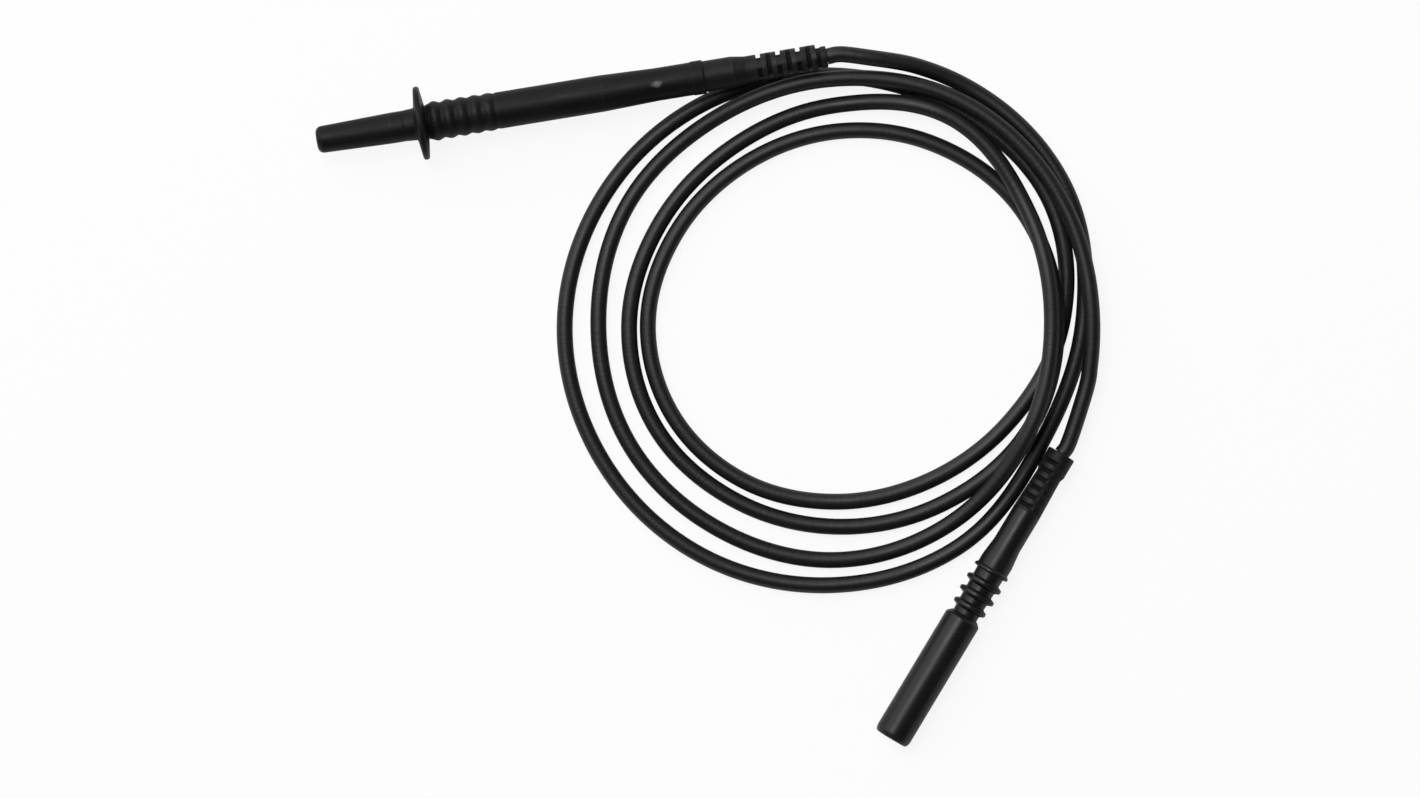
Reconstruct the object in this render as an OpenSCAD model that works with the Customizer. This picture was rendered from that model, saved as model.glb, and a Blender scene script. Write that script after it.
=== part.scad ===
// Test probe with a coiled lead and a shrouded 4 mm plug, in millimetres.
// The handle lies along X with its nose towards -X, and z = 0 is the surface that all lies on.
// The origin is on that surface, below the middle of the handle.

/* [Nose cap] */
// Length of the pull-off nose cap
cap_len = 21.2; // [19:0.1:26]
// Diameter of the cap at its closed end
cap_front_d = 6.4; // [6.2:0.1:7.2]
// Diameter of the cap where it meets the handle
cap_rear_d = 7.4; // [7.3:0.1:8]
// Length of the tapered part of the cap
cap_taper_len = 18; // [10:0.5:18]
// Rounding of the cap's closed end
cap_edge_r = 2.3; // [0.4:0.1:2.4]
// Thickness of the cap's closed end
cap_end_t = 1.4; // [1:0.1:2]
// Diameter of the cap's front bore, around the insulated tip
cap_bore_d = 4.2; // [4:0.1:4.6]

/* [Tip] */
// Diameter of the metal tip
needle_d = 2; // [1.6:0.1:2.2]
// Diameter of the tip's stem, inside its insulation and its socket
needle_stem_d = 2.5; // [2.4:0.05:2.7]
// Length of the metal that stands bare
needle_bare_len = 4; // [3:0.5:6]
// Length of the conical point
needle_point_len = 1.6; // [1:0.1:2.5]
// Diameter of the small flat at the point's end
needle_flat_d = 0.2; // [0.1:0.05:0.4]
// Depth that the metal tip sits in its socket
needle_seat_len = 10; // [6:0.5:12]
// Space between the point and the cap's closed end
needle_clear = 0.6; // [0.4:0.1:1]
// Diameter of the insulation on the tip
insulation_d = 3.6; // [3.2:0.1:3.7]

/* [Handle] */
// Diameter of the spigot that the cap grips
spigot_d = 5.3; // [5.1:0.1:5.6]
// Length of the spigot that the cap grips
spigot_len = 7; // [5:0.5:9]
// Length of the flare between the cap and the finger guard
flare_len = 2.8; // [2:0.1:5]
// Diameter of the flare at the finger guard
flare_d = 7.8; // [7.7:0.1:8.6]
// Diameter of the finger guard
guard_d = 17.7; // [15:0.1:22]
// Thickness of the finger guard at its root
guard_root_t = 2.7; // [1.8:0.1:3.2]
// Thickness of the finger guard at its rim
guard_rim_t = 1.3; // [0.6:0.1:1.6]
// Length of the neck between the guard and the grip rings
neck_len = 0.6; // [0.6:0.1:3]
// Number of grip rings
grip_rings = 5; // [3:1:8]
// Distance from one grip ring to the next
grip_pitch = 3.25; // [2.6:0.05:4]
// Diameter in the valleys between the grip rings
grip_valley_d = 8.5; // [8.1:0.1:8.8]
// Diameter of the first grip ring
grip_first_d = 9.6; // [9.2:0.1:10.2]
// Diameter of the last grip ring
grip_last_d = 9.1; // [8.9:0.1:9.6]
// Diameter of the barrel
barrel_d = 8.8; // [8.4:0.1:9.4]
// Length of the straight barrel
barrel_len = 25.7; // [18:0.1:40]
// Length over which the barrel tapers
barrel_taper_len = 13.2; // [8:0.1:20]
// Diameter behind the taper
rear_d = 7.9; // [7.7:0.1:8.3]
// Length behind the taper
rear_len = 8.4; // [4:0.1:14]
// Diameter of the rounded end collar
collar_d = 8.2; // [8:0.1:8.6]
// Length of the rounded end collar
collar_len = 3.2; // [2:0.1:5]
// Diameter of the bore through the handle shell
shell_bore_d = 6; // [5.9:0.1:6.1]
// Wall left in the shell behind the finger guard
web_t = 0.4; // [0.4:0.1:1.5]
// Diameter of the shallow mould gate mark on the barrel
gate_mark_d = 2.2; // [1.6:0.1:3]
// Depth of the mould gate mark
gate_mark_depth = 0.15; // [0.1:0.05:0.3]
// Radius of the rounding of the end collar
collar_edge_r = 0.4; // [0.2:0.1:1]

/* [Handle core and tip socket] */
// Diameter of the bore along the core
core_bore_d = 4.8; // [4.7:0.1:4.9]
// Diameter of the tip socket's body
socket_d = 4.2; // [3.6:0.1:4.3]
// Length of the tip socket's body
socket_len = 14; // [12.5:0.5:16]
// Length of the tip socket's collar
socket_collar_len = 2; // [1.5:0.1:3]

/* [Cable] */
// Outer diameter of the cable
cable_d = 3.9; // [3.7:0.1:4]
// Diameter of the copper strand bundle
strands_d = 1.5; // [1.2:0.1:1.6]
// Diameter of the cable's inner insulation
inner_d = 2.5; // [2.3:0.1:2.6]
// Clear height between the cable and a turn that it passes over
lay_gap = 0.55; // [0.5:0.05:0.8]

/* [Wire joints] */
// Diameter of the crimp barrel at each end of the wire
barrel_crimp_d = 3.2; // [3:0.1:3.3]
// Length of the crimp barrel
barrel_crimp_len = 6.5; // [5:0.5:8]
// Depth of the wire in the crimp barrel
wire_depth = 5.5; // [4:0.5:5.5]
// Bare strands that show between the barrel and the inner insulation
wire_bare_len = 1; // [0.6:0.1:1.4]
// Length of inner insulation that stands out of the jacket
inner_len = 5; // [4:0.5:5]
// Length of inner insulation held inside the stripped jacket
inner_held_len = 4; // [3:0.5:6]
// Wall of the shrunk sleeve over each joint
sleeve_wall = 0.35; // [0.25:0.05:0.4]
// Diameter of the ferrules that anchor the jacket
ferrule_d = 4.65; // [4.5:0.05:4.65]
// Length of the ferrules that anchor the jacket
ferrule_len = 4; // [3:0.5:4.5]

/* [Handle boot] */
// Diameter of the boot where it meets the handle
boot_base_d = 7.5; // [7:0.1:7.8]
// Length of the boot's straight base
boot_base_len = 6.8; // [4:0.1:8]
// Length of the boot's taper
boot_taper_len = 3.2; // [3:0.1:6]
// Diameter of the slotted part where it begins
boot_d = 6.5; // [6.2:0.1:6.8]
// Diameter of the slotted part at its last slot
boot_end_d = 6.6; // [6:0.1:6.8]
// Diameter of the small end ring at the cable
boot_tip_d = 5.2; // [5:0.1:5.6]
// Number of slots along the handle boot
boot_slots = 7; // [4:1:8]
// Length of the boot's spigot inside the handle
boot_spigot_len = 7; // [5:0.5:9]
// Turn of the handle boot's slots about its axis
boot_roll = 167; // [0:1:179]

/* [Boot slots] */
// Distance from one slot to the next, on both boots
slot_pitch = 2.4; // [2.2:0.1:2.8]
// Width of each slot
slot_w = 1.1; // [0.8:0.1:1.3]
// Diameter at the bottom of the slots
slot_floor_d = 4.7; // [4.7:0.1:4.9]
// Width of the bridges that join the handle boot's ribs
slot_bridge_w = 2.2; // [1.8:0.1:3]
// Turn from one slot to the next, on the handle boot
slot_turn = 90; // [0:90:90]
// Length of plain boot in front of the handle boot's first slot
slot_start_len = 2.8; // [0.5:0.1:3]
// Length of plain boot beyond the handle boot's last slot
slot_end_len = 1.4; // [1:0.1:2.4]

/* [Plug shroud] */
// Outer diameter of the plug's insulating shroud
shroud_d = 9; // [8.8:0.1:9.4]
// Length of the shroud
shroud_len = 34.5; // [30:0.1:38]
// Inner diameter of the shroud's socket end
shroud_bore_d = 6.8; // [6.6:0.1:7]
// Depth of the shroud's socket end
shroud_depth = 27; // [25:0.5:29]
// Rounding of the shroud's mouth, across its wall
shroud_edge_r = 0.85; // [0.2:0.05:0.85]
// Rounding of the shroud's mouth, along the shroud
shroud_edge_len = 1.6; // [0.4:0.1:2.4]
// Chamfer at the shroud's rear end
shroud_chamfer = 1.1; // [0.3:0.1:1.2]

/* [Plug contact] */
// Diameter of the socket that the contact fits
contact_d = 4; // [3.9:0.05:4.2]
// Distance of the contact's insulated end behind the shroud's mouth
contact_recess = 2; // [1.5:0.1:3]
// Length of the insulating end on the contact
contact_end_len = 2.6; // [2:0.1:3.5]
// Rounding of the insulating end
contact_end_r = 0.9; // [0.4:0.1:1.2]
// Diameter of the contact's front collar and of its insulating end
contact_front_d = 3.6; // [3.4:0.1:3.8]
// Length of the contact's front collar
contact_collar_len = 1; // [0.8:0.1:2]
// Diameter of the contact's rear collar
contact_rear_d = 3.9; // [3.6:0.1:4]
// Diameter of the rod inside the spring cage
contact_rod_d = 2.3; // [2:0.1:2.4]
// Length of the spring cage
cage_len = 13.6; // [10:0.1:15]
// Thickness of the cage's spring leaves
cage_t = 0.22; // [0.18:0.02:0.3]
// Number of leaves in the spring cage
cage_leaves = 8; // [5:1:10]
// Length of each end ring of the spring cage
cage_ring_len = 1.1; // [0.8:0.1:1.6]
// Width of the slots between the leaves
cage_slot_w = 0.44; // [0.3:0.02:0.6]
// Height that a relaxed leaf stands out beyond the socket's wall
cage_bulge = 0.05; // [0.02:0.01:0.1]
// Diameter of the contact's shank in its carrier
shank_d = 3; // [2.8:0.1:3.2]
// Length of the carrier that holds the contact
carrier_len = 12.5; // [10:0.5:13]
// Diameter of the carrier
carrier_d = 4.7; // [4.4:0.1:4.8]

/* [Plug body] */
// Diameter of the plug body's spigot inside the shroud
plug_spigot_d = 5.9; // [5.6:0.1:6]
// Diameter of the neck at the shroud
plug_neck_d = 6.3; // [6.2:0.1:6.8]
// Diameter of the neck at the plug's head
plug_neck_end_d = 7.1; // [6.9:0.1:7.4]
// Distance from the shroud to the first fin's middle
fin_first = 2.3; // [2:0.1:3]
// Distance from one fin to the next
fin_pitch = 3.3; // [3:0.1:4]
// Number of fins on the neck
fins = 3; // [2:1:3]
// Diameter of the first fin, next to the shroud
fin_first_d = 8.6; // [8.2:0.1:9.2]
// Diameter of the other fins
fin_d = 9.2; // [8.4:0.1:9.4]
// Thickness of the fins at their root
fin_root_t = 1.9; // [1.2:0.1:2.2]
// Thickness of the fins at their rim
fin_rim_t = 0.9; // [0.5:0.1:1.2]
// Diameter of the plug's head
head_d = 8; // [7.8:0.1:8.4]
// Diameter of the lip in front of the plug's head
head_lip_d = 9; // [8.4:0.1:9.2]
// Length of the plug's head
head_len = 3.4; // [2.6:0.1:5]
// Length of the taper behind the head
head_taper_len = 4.4; // [3:0.1:7]
// Diameter of the plug's tail
tail_d = 7; // [6.8:0.1:7.2]
// Length of the plug's tail
tail_len = 9.5; // [8:0.1:13]
// Diameter of the bore in the plug body
plug_bore_d = 4.9; // [4.9:0.05:5]

/* [Plug boot] */
// Number of slots along the plug boot
plug_boot_slots = 6; // [4:1:7]
// Diameter of the plug boot at its waist
plug_boot_waist_d = 6.2; // [6:0.1:6.6]
// Diameter of the collar around the plug boot's end
plug_boot_collar_d = 7; // [6.7:0.1:7.2]
// Length of the collar around the plug boot's end
plug_boot_collar_len = 5.6; // [3:0.1:7]
// Length of plain boot beyond the plug boot's last slot
plug_slot_end_len = 2.4; // [1:0.1:2.6]
// Width of the bridges that join the plug boot's ribs
plug_bridge_w = 4.2; // [2.6:0.1:4.6]
// Turn from one slot to the next, on the plug boot
plug_slot_turn = 0; // [0:90:90]
// Length of the plug boot's spigot inside the body
plug_boot_spigot_len = 6.8; // [5:0.1:7.4]
// Diameter of the plug boot's spigot
plug_boot_spigot_d = 5.2; // [5.1:0.05:5.4]
// Turn of the plug boot's slots about its axis
plug_boot_roll = 50; // [0:1:179]

/* [Fits] */
// Clearance around a piece that sits fixed in another
fit = 0.05; // [0.04:0.01:0.06]
// Clearance around a piece that slides or turns on another
running_fit = 0.08; // [0.05:0.01:0.1]

/* [Hidden] */
$fn = 64;
eps = 0.01;

// Small chamfers and steps on moulded edges
edge = 0.4;

soft_black = [0.13, 0.13, 0.13];
gloss_black = [0.10, 0.10, 0.10];
cable_black = [0.17, 0.16, 0.16];
inner_white = [0.85, 0.85, 0.82];
amber_nylon = [0.62, 0.55, 0.42];
brass = [0.78, 0.62, 0.30];
nickel = [0.72, 0.71, 0.68];
copper = [0.80, 0.45, 0.28];
shrink_red = [0.45, 0.10, 0.09];

// Places along the handle, measured from the cap's closed end
needle_start = cap_end_t + needle_clear;
insulation_start = needle_start + needle_bare_len;
spigot_start = cap_len - spigot_len;
guard_start = cap_len + flare_len;
guard_end = guard_start + guard_root_t;
core_start = guard_end + web_t;
grip_start = guard_end + neck_len;
grip_end = grip_start + grip_rings * grip_pitch;
taper_start = grip_end + barrel_len;
taper_end = taper_start + barrel_taper_len;
collar_start = taper_end + rear_len;
shell_end = collar_start + collar_len;
boot_spigot_start = shell_end - boot_spigot_len;
slots_start = shell_end + boot_base_len + boot_taper_len + slot_start_len;
slots_end = slots_start + slots_len(boot_slots);
handle_len = slots_end + slot_end_len;
socket_collar_start = core_start + socket_len;
handle_barrel_end = socket_collar_start + socket_collar_len + barrel_crimp_len;
axis_h = guard_d / 2;

// Places along the plug, measured from the shroud's mouth
contact_start = contact_recess + contact_end_len;
cage_start = contact_start + contact_collar_len + running_fit;
cage_end = cage_start + cage_len;
contact_stub_start = contact_start - 0.7 * contact_end_len;
carrier_end = shroud_depth + carrier_len;
plug_barrel_end = carrier_end + barrel_crimp_len;
head_start = shroud_len + fin_first + fins * fin_pitch - edge;
head_end = head_start + head_len;
tail_start = head_end + head_taper_len;
body_end = tail_start + tail_len;
plug_slots_start = body_end + (slot_pitch - slot_w) / 2;
plug_len = plug_slots_start + slots_len(plug_boot_slots) + plug_slot_end_len;
plug_boot_spigot_start = body_end - plug_boot_spigot_len;
plug_axis_h = max(shroud_d, fin_first_d, fin_d, head_lip_d) / 2;

// Where the cable enters the plug, and the direction from the plug's mouth to that place
plug_exit = [102.2, -103];
plug_heading = 49.7;

// The cable's coil: its middle, the direction of its first station, and the degrees of
// travel, clockwise, from one station to the next and from one ring of the tube to the next
coil_middle = [53.7, -63.2];
coil_first_angle = 81;
station_step = 30;
ring_step = 15;
cable_straight = 3.5;

// Distance of the cable from the coil's middle at every station, one row for each turn
coil_radii = [
    63.5, 65.0, 64.1, 59.6, 57.3, 61.3, 63.0, 64.5, 65.1, 65.1, 63.5, 61.5,
    59.5, 59.0, 59.4, 54.6, 48.1, 44.1, 43.0, 43.9, 45.0, 45.1, 44.0, 44.0,
    46.0, 49.2, 52.5, 53.0, 53.0, 50.5, 49.0, 49.0, 50.0, 49.6, 48.5, 49.0,
    52.3, 56.4, 53.2, 51.6, 53.0, 55.5, 57.0, 57.0, 57.5, 57.0, 57.5, 57.0,
    58.5, 61.0, 61.5, 61.5, 63.0];

// Heights of the cable's middle: on the surface, over one turn and over two
lay_1 = cable_d / 2;
lay_2 = lay_1 + cable_d + lay_gap;
lay_3 = lay_2 + cable_d + lay_gap;

// Degrees of travel and height where the cable starts or ends each climb
climbs = [[3, axis_h], [34, lay_1], [780, lay_1], [808, lay_2], [830, lay_2], [855, lay_1],
    [1078, lay_1], [1108, lay_2], [1130, lay_2], [1165, lay_3], [1192, lay_3], [1238, lay_1],
    [1394, lay_1], [1432, lay_2], [1525, lay_2], [1557, plug_axis_h]];

// Travel of the tube's rings between its two straight ends
first_ring_travel = 8;
last_ring_travel = (len(coil_radii) - 1) * station_step - ring_step;
ring_travels = concat([first_ring_travel], [for (t = [ring_step : ring_step : last_ring_travel]) t]);

cable_sides = 6;

// ---- helpers ----

// Length from the first slot's start to the last slot's end
function slots_len(count) = (count - 1) * slot_pitch + slot_w;

// Points of an arc in a profile
function arc(middle, r, from, to, steps = 6) =
    [for (i = [0 : steps]) middle + r * [cos(from + (to - from) * i / steps),
        sin(from + (to - from) * i / steps)]];

// Puts a piece drawn along Z in place along the handle
module along_handle() {
    translate([-handle_len / 2, 0, axis_h]) rotate([0, 90, 0]) children();
}

// Puts a piece drawn along Z, from the shroud's mouth, in place along the plug
module along_plug() {
    translate([plug_exit.x - plug_len * cos(plug_heading),
        plug_exit.y - plug_len * sin(plug_heading), plug_axis_h])
        rotate([0, 90, plug_heading]) children();
}

// Round bar from one place to another
module bar(d, from, to) {
    translate([0, 0, from]) cylinder(d = d, h = to - from);
}

// Round tube from one place to another
module tube(outer, inner, from, to) {
    difference() {
        bar(outer, from, to);
        bar(inner, from - eps, to + eps);
    }
}

// Slots across a boot that leave two bridges each
module boot_slot_cuts(from, count, over_d, bridge_w, roll, turn) {
    for (i = [0 : count - 1])
        translate([0, 0, from + i * slot_pitch]) rotate(roll + turn * i) difference() {
            cylinder(d = 2 * over_d, h = slot_w);
            translate([0, 0, -eps]) cylinder(d = slot_floor_d, h = slot_w + 2 * eps);
            translate([-over_d, -bridge_w / 2, -eps])
                cube([2 * over_d, bridge_w, slot_w + 2 * eps]);
        }
}

// Thin fin whose flanks draw in from its root to its rim
module fin(place, root_d, rim_d, root_t, rim_t) {
    rotate_extrude() polygon([[0, place - root_t / 2], [root_d / 2, place - root_t / 2],
        [rim_d / 2, place - rim_t / 2], [rim_d / 2, place + rim_t / 2],
        [root_d / 2, place + root_t / 2], [0, place + root_t / 2]]);
}

// ---- pieces that both ends of the cable have ----

module wire_strands(barrel_end) {
    bar(strands_d, barrel_end - wire_depth, barrel_end + wire_bare_len + inner_len + inner_held_len);
}

module inner_insulation(barrel_end) {
    from = barrel_end + wire_bare_len;
    tube(inner_d, strands_d + 2 * fit, from, from + inner_len + inner_held_len);
}

module cable_tail(barrel_end, exit) {
    from = barrel_end + wire_bare_len + inner_len;
    difference() {
        bar(cable_d, from, exit);
        bar(inner_d + 2 * fit, from - eps, from + inner_held_len + fit);
    }
}

module cable_ferrule(end) {
    tube(ferrule_d, cable_d + 2 * fit, end - ferrule_len, end);
}

// Sleeve shrunk over the crimp barrel and the inner insulation
module joint_sleeve(barrel_end) {
    front = barrel_end - 0.6 * barrel_crimp_len;
    waist = barrel_end + wire_bare_len;
    rear = waist + 0.8 * inner_len;
    wide = barrel_crimp_d / 2 + fit;
    slim = inner_d / 2 + fit;
    rotate_extrude() polygon([[wide, front], [wide, barrel_end + fit], [slim, waist], [slim, rear],
        [slim + sleeve_wall, rear], [slim + sleeve_wall, waist],
        [wide + sleeve_wall, barrel_end + fit], [wide + sleeve_wall, front]]);
}

module crimp_barrel_bore(barrel_end) {
    bar(strands_d + 2 * fit, barrel_end - wire_depth - fit, barrel_end + eps);
}

// ---- handle ----

module tip_cap() {
    front_r = cap_front_d / 2;
    color(soft_black) along_handle() difference() {
        rotate_extrude() polygon(concat([[0, 0]],
            arc([front_r - cap_edge_r, cap_edge_r], cap_edge_r, -90, 0),
            [[cap_rear_d / 2, cap_taper_len], [cap_rear_d / 2, cap_len], [0, cap_len]]));
        bar(cap_bore_d, cap_end_t, cap_len + eps);
        bar(spigot_d + 2 * running_fit, spigot_start - running_fit, cap_len + eps);
    }
}

module probe_tip() {
    color(nickel) along_handle() {
        translate([0, 0, needle_start])
            cylinder(d1 = needle_flat_d, d2 = needle_d, h = needle_point_len);
        bar(needle_d, needle_start + needle_point_len, insulation_start + eps);
        bar(needle_stem_d, insulation_start, core_start + needle_seat_len);
    }
}

module tip_insulation() {
    color(gloss_black) along_handle()
        tube(insulation_d, needle_stem_d + 2 * fit, insulation_start, core_start);
}

module tip_socket() {
    color(brass) along_handle() difference() {
        union() {
            bar(socket_d, core_start, socket_collar_start + eps);
            bar(core_bore_d - 2 * fit, socket_collar_start, socket_collar_start + socket_collar_len);
            bar(barrel_crimp_d, socket_collar_start, handle_barrel_end);
        }
        bar(needle_stem_d + 2 * fit, core_start - eps, core_start + needle_seat_len + fit);
        crimp_barrel_bore(handle_barrel_end);
    }
}

module handle_core() {
    color(amber_nylon) along_handle() difference() {
        bar(shell_bore_d - 2 * fit, core_start, boot_spigot_start);
        bar(socket_d + 2 * fit, core_start - eps, boot_spigot_start + eps);
        bar(core_bore_d, socket_collar_start, boot_spigot_start + eps);
    }
}

// Outline of the grip: one rounded bump for each ring, sinking from the first to the last
function grip_outline(steps = 8, fullness = 0.8) =
    [for (i = [0 : grip_rings - 1], step = [0 : steps - 1])
        let (rings_done = i + step / steps,
            top = grip_first_d + (grip_last_d - grip_first_d) * rings_done / grip_rings,
            rise = pow((1 - cos(360 * step / steps)) / 2, fullness))
        [(grip_valley_d + (top - grip_valley_d) * rise) / 2, grip_start + rings_done * grip_pitch]];

module handle_shell() {
    collar_r = min(collar_edge_r, (collar_d - boot_base_d) / 2 + edge);
    color(soft_black) along_handle() difference() {
        union() {
            rotate_extrude() polygon(concat(
                [[0, spigot_start], [spigot_d / 2 - edge, spigot_start],
                    [spigot_d / 2, spigot_start + edge], [spigot_d / 2, cap_len],
                    [cap_rear_d / 2, cap_len], [flare_d / 2, guard_start + eps],
                    [flare_d / 2, guard_end]],
                grip_outline(),
                [[grip_valley_d / 2, grip_end], [barrel_d / 2, grip_end + edge],
                    [barrel_d / 2, taper_start], [rear_d / 2, taper_end],
                    [rear_d / 2, collar_start], [collar_d / 2, collar_start + edge]],
                arc([collar_d / 2 - collar_r, shell_end - collar_r], collar_r, 0, 90),
                [[0, shell_end]]));
            fin(guard_start + guard_root_t / 2, flare_d, guard_d, guard_root_t, guard_rim_t);
        }
        bar(insulation_d + 2 * fit, spigot_start - eps, core_start + eps);
        bar(shell_bore_d, core_start, shell_end + eps);
        translate([-barrel_d / 2, 0, taper_end]) rotate([0, 90, 0])
            cylinder(d = gate_mark_d, h = (barrel_d - rear_d) / 2 + gate_mark_depth);
    }
}

module handle_cable_ferrule() {
    color(nickel) along_handle() cable_ferrule(boot_spigot_start);
}

module handle_joint_sleeve() {
    color(shrink_red) along_handle() joint_sleeve(handle_barrel_end);
}

module handle_wire_strands() {
    color(copper) along_handle() wire_strands(handle_barrel_end);
}

module handle_inner_insulation() {
    color(inner_white) along_handle() inner_insulation(handle_barrel_end);
}

module handle_cable_tail() {
    color(cable_black) along_handle() cable_tail(handle_barrel_end, handle_len);
}

module handle_boot() {
    tube_start = shell_end + boot_base_len + boot_taper_len;
    color(soft_black) along_handle() difference() {
        union() {
            bar(shell_bore_d - 2 * fit, boot_spigot_start, shell_end + eps);
            rotate_extrude() polygon([[0, shell_end], [boot_base_d / 2, shell_end],
                [boot_base_d / 2, shell_end + boot_base_len], [boot_d / 2, tube_start],
                [boot_end_d / 2, slots_end - slot_w], [boot_tip_d / 2, slots_end],
                [boot_tip_d / 2, handle_len - edge], [boot_tip_d / 2 - edge, handle_len],
                [0, handle_len]]);
        }
        bar(cable_d + 2 * fit, boot_spigot_start - eps, handle_len + eps);
        boot_slot_cuts(slots_start, boot_slots, boot_d, slot_bridge_w, boot_roll, slot_turn);
    }
}

// ---- cable ----

// Smooth curve through the stations' distances from the coil's middle
function coil_radius(travel) =
    let (last = len(coil_radii) - 1,
        i = min(floor(travel / station_step), last - 1),
        u = travel / station_step - i,
        b = coil_radii[i], c = coil_radii[i + 1],
        a = i > 0 ? coil_radii[i - 1] : 2 * b - c,
        d = i + 2 <= last ? coil_radii[i + 2] : 2 * c - b)
    b + 0.5 * u * (c - a + u * (2 * a - 5 * b + 4 * c - d + u * (3 * (b - c) + d - a)));

// Height of the cable's middle, level between climbs and smooth along each climb
function coil_height(travel) =
    let (i = max([0, for (k = [0 : len(climbs) - 2]) if (climbs[k][0] <= travel) k]),
        from = climbs[i], to = climbs[i + 1],
        share = min(1, max(0, (travel - from[0]) / (to[0] - from[0]))))
    from[1] + (to[1] - from[1]) * share * share * (3 - 2 * share);

function coil_point(travel) =
    let (r = coil_radius(travel), angle = coil_first_angle - travel)
    [coil_middle.x + r * cos(angle), coil_middle.y + r * sin(angle), coil_height(travel)];

// Middles of the tube's rings, with both ends square to what they meet
function cable_points() =
    let (heading = [cos(plug_heading), sin(plug_heading)],
        turn_in = plug_exit + cable_straight * heading)
    concat([[handle_len / 2, 0, axis_h], [handle_len / 2 + cable_straight, 0, axis_h]],
        [for (t = ring_travels) coil_point(t)],
        [[turn_in.x, turn_in.y, plug_axis_h], [plug_exit.x, plug_exit.y, plug_axis_h]]);

function unit(v) = v / norm(v);

// Triangles of a tube of even sides around a row of points
module swept_tube(points, d, sides) {
    last = len(points) - 1;
    function along(i) = unit(points[min(i + 1, last)] - points[max(i - 1, 0)]);
    function aside(i) = unit(cross([0, 0, 1], along(i)));
    function above(i) = cross(along(i), aside(i));
    skin = [for (i = [0 : last], k = [0 : sides - 1])
        points[i] + d / 2 * (cos(90 + 360 * k / sides) * aside(i) + sin(90 + 360 * k / sides) * above(i))];
    walls = [for (i = [0 : last - 1], k = [0 : sides - 1])
        let (a = i * sides + k, b = i * sides + (k + 1) % sides)
        each [[a, b, a + sides], [b, b + sides, a + sides]]];
    front = [for (k = [1 : sides - 2]) [0, k + 1, k]];
    back = [for (k = [1 : sides - 2]) last * sides * [1, 1, 1] + [0, k, k + 1]];
    polyhedron(points = skin, faces = concat(walls, front, back));
}

// Least clear gap between two places of the cable that are at least six rings apart
function cable_self_gap(points) =
    let (last = len(points) - 1)
    min([for (i = [0 : last - 1], quarter = [0 : 3], j = [0 : last - 1])
        if (abs(i - j) > 6)
            let (p = points[i] + quarter / 4 * (points[i + 1] - points[i]),
                way = points[j + 1] - points[j],
                share = min(1, max(0, (p - points[j]) * way / (way * way))))
            norm(p - points[j] - share * way)]) - cable_d;

function route_length(points, i = 1) =
    i < len(points) ? norm(points[i] - points[i - 1]) + route_length(points, i + 1) : 0;

module cable() {
    points = cable_points();
    echo(cable_least_gap_to_itself = cable_self_gap(points));
    echo(cable_length = route_length(points));
    color(cable_black) swept_tube(points, cable_d, cable_sides);
}

// ---- plug ----

module plug_shroud() {
    outer = shroud_d / 2;
    steps = 8;
    color(gloss_black) along_plug() difference() {
        rotate_extrude() polygon(concat([[0, 0]],
            [for (i = [0 : steps]) let (turn = 90 * i / steps)
                [outer - shroud_edge_r * (1 - sin(turn)), shroud_edge_len * (1 - cos(turn))]],
            [[outer, shroud_len - shroud_chamfer], [outer - shroud_chamfer, shroud_len],
                [0, shroud_len]]));
        bar(shroud_bore_d, -eps, shroud_depth);
        bar(plug_spigot_d + 2 * fit, shroud_depth - eps, shroud_len + eps);
    }
}

module contact_pin() {
    color(nickel) along_plug() difference() {
        union() {
            bar(contact_rod_d / 2, contact_stub_start, contact_start + eps);
            bar(contact_front_d, contact_start, contact_start + contact_collar_len);
            bar(contact_rod_d, contact_start, cage_end + running_fit + eps);
            bar(contact_rear_d, cage_end + running_fit, shroud_depth);
            bar(shank_d, shroud_depth - eps, carrier_end + eps);
            bar(barrel_crimp_d, carrier_end, plug_barrel_end);
        }
        crimp_barrel_bore(plug_barrel_end);
    }
}

// Bowed spring leaves between two rings, free to turn on the contact's rod
module contact_cage() {
    steps = 10;
    inner = contact_rod_d / 2 + running_fit;
    bow = contact_d / 2 + cage_bulge - inner - cage_t;
    bow_start = cage_start + cage_ring_len;
    bow_len = cage_len - 2 * cage_ring_len;
    function leaf(i, out) =
        [inner + out + bow * (1 - cos(360 * i / steps)) / 2, bow_start + bow_len * i / steps];
    color(brass) along_plug() difference() {
        rotate_extrude() polygon(concat([[inner, cage_start]], [for (i = [0 : steps]) leaf(i, 0)],
            [[inner, cage_end], [inner + cage_t, cage_end]],
            [for (i = [steps : -1 : 0]) leaf(i, cage_t)], [[inner + cage_t, cage_start]]));
        for (i = [0 : cage_leaves - 1]) rotate(360 * i / cage_leaves)
            translate([0, -cage_slot_w / 2, bow_start]) cube([contact_d, cage_slot_w, bow_len]);
    }
}

module contact_end_insulator() {
    outer = contact_front_d / 2;
    color(inner_white) along_plug() difference() {
        rotate_extrude() polygon(concat([[0, contact_recess]],
            arc([outer - contact_end_r, contact_recess + contact_end_r], contact_end_r, -90, 0),
            [[outer, contact_start], [0, contact_start]]));
        bar(contact_rod_d / 2 + 2 * fit, contact_stub_start - fit, contact_start + eps);
    }
}

module contact_carrier() {
    color(amber_nylon) along_plug() tube(carrier_d, shank_d + 2 * fit, shroud_depth, carrier_end);
}

module plug_cable_ferrule() {
    color(nickel) along_plug() cable_ferrule(plug_boot_spigot_start);
}

module plug_joint_sleeve() {
    color(shrink_red) along_plug() joint_sleeve(plug_barrel_end);
}

module plug_wire_strands() {
    color(copper) along_plug() wire_strands(plug_barrel_end);
}

module plug_inner_insulation() {
    color(inner_white) along_plug() inner_insulation(plug_barrel_end);
}

module plug_cable_tail() {
    color(cable_black) along_plug() cable_tail(plug_barrel_end, plug_len);
}

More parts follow.
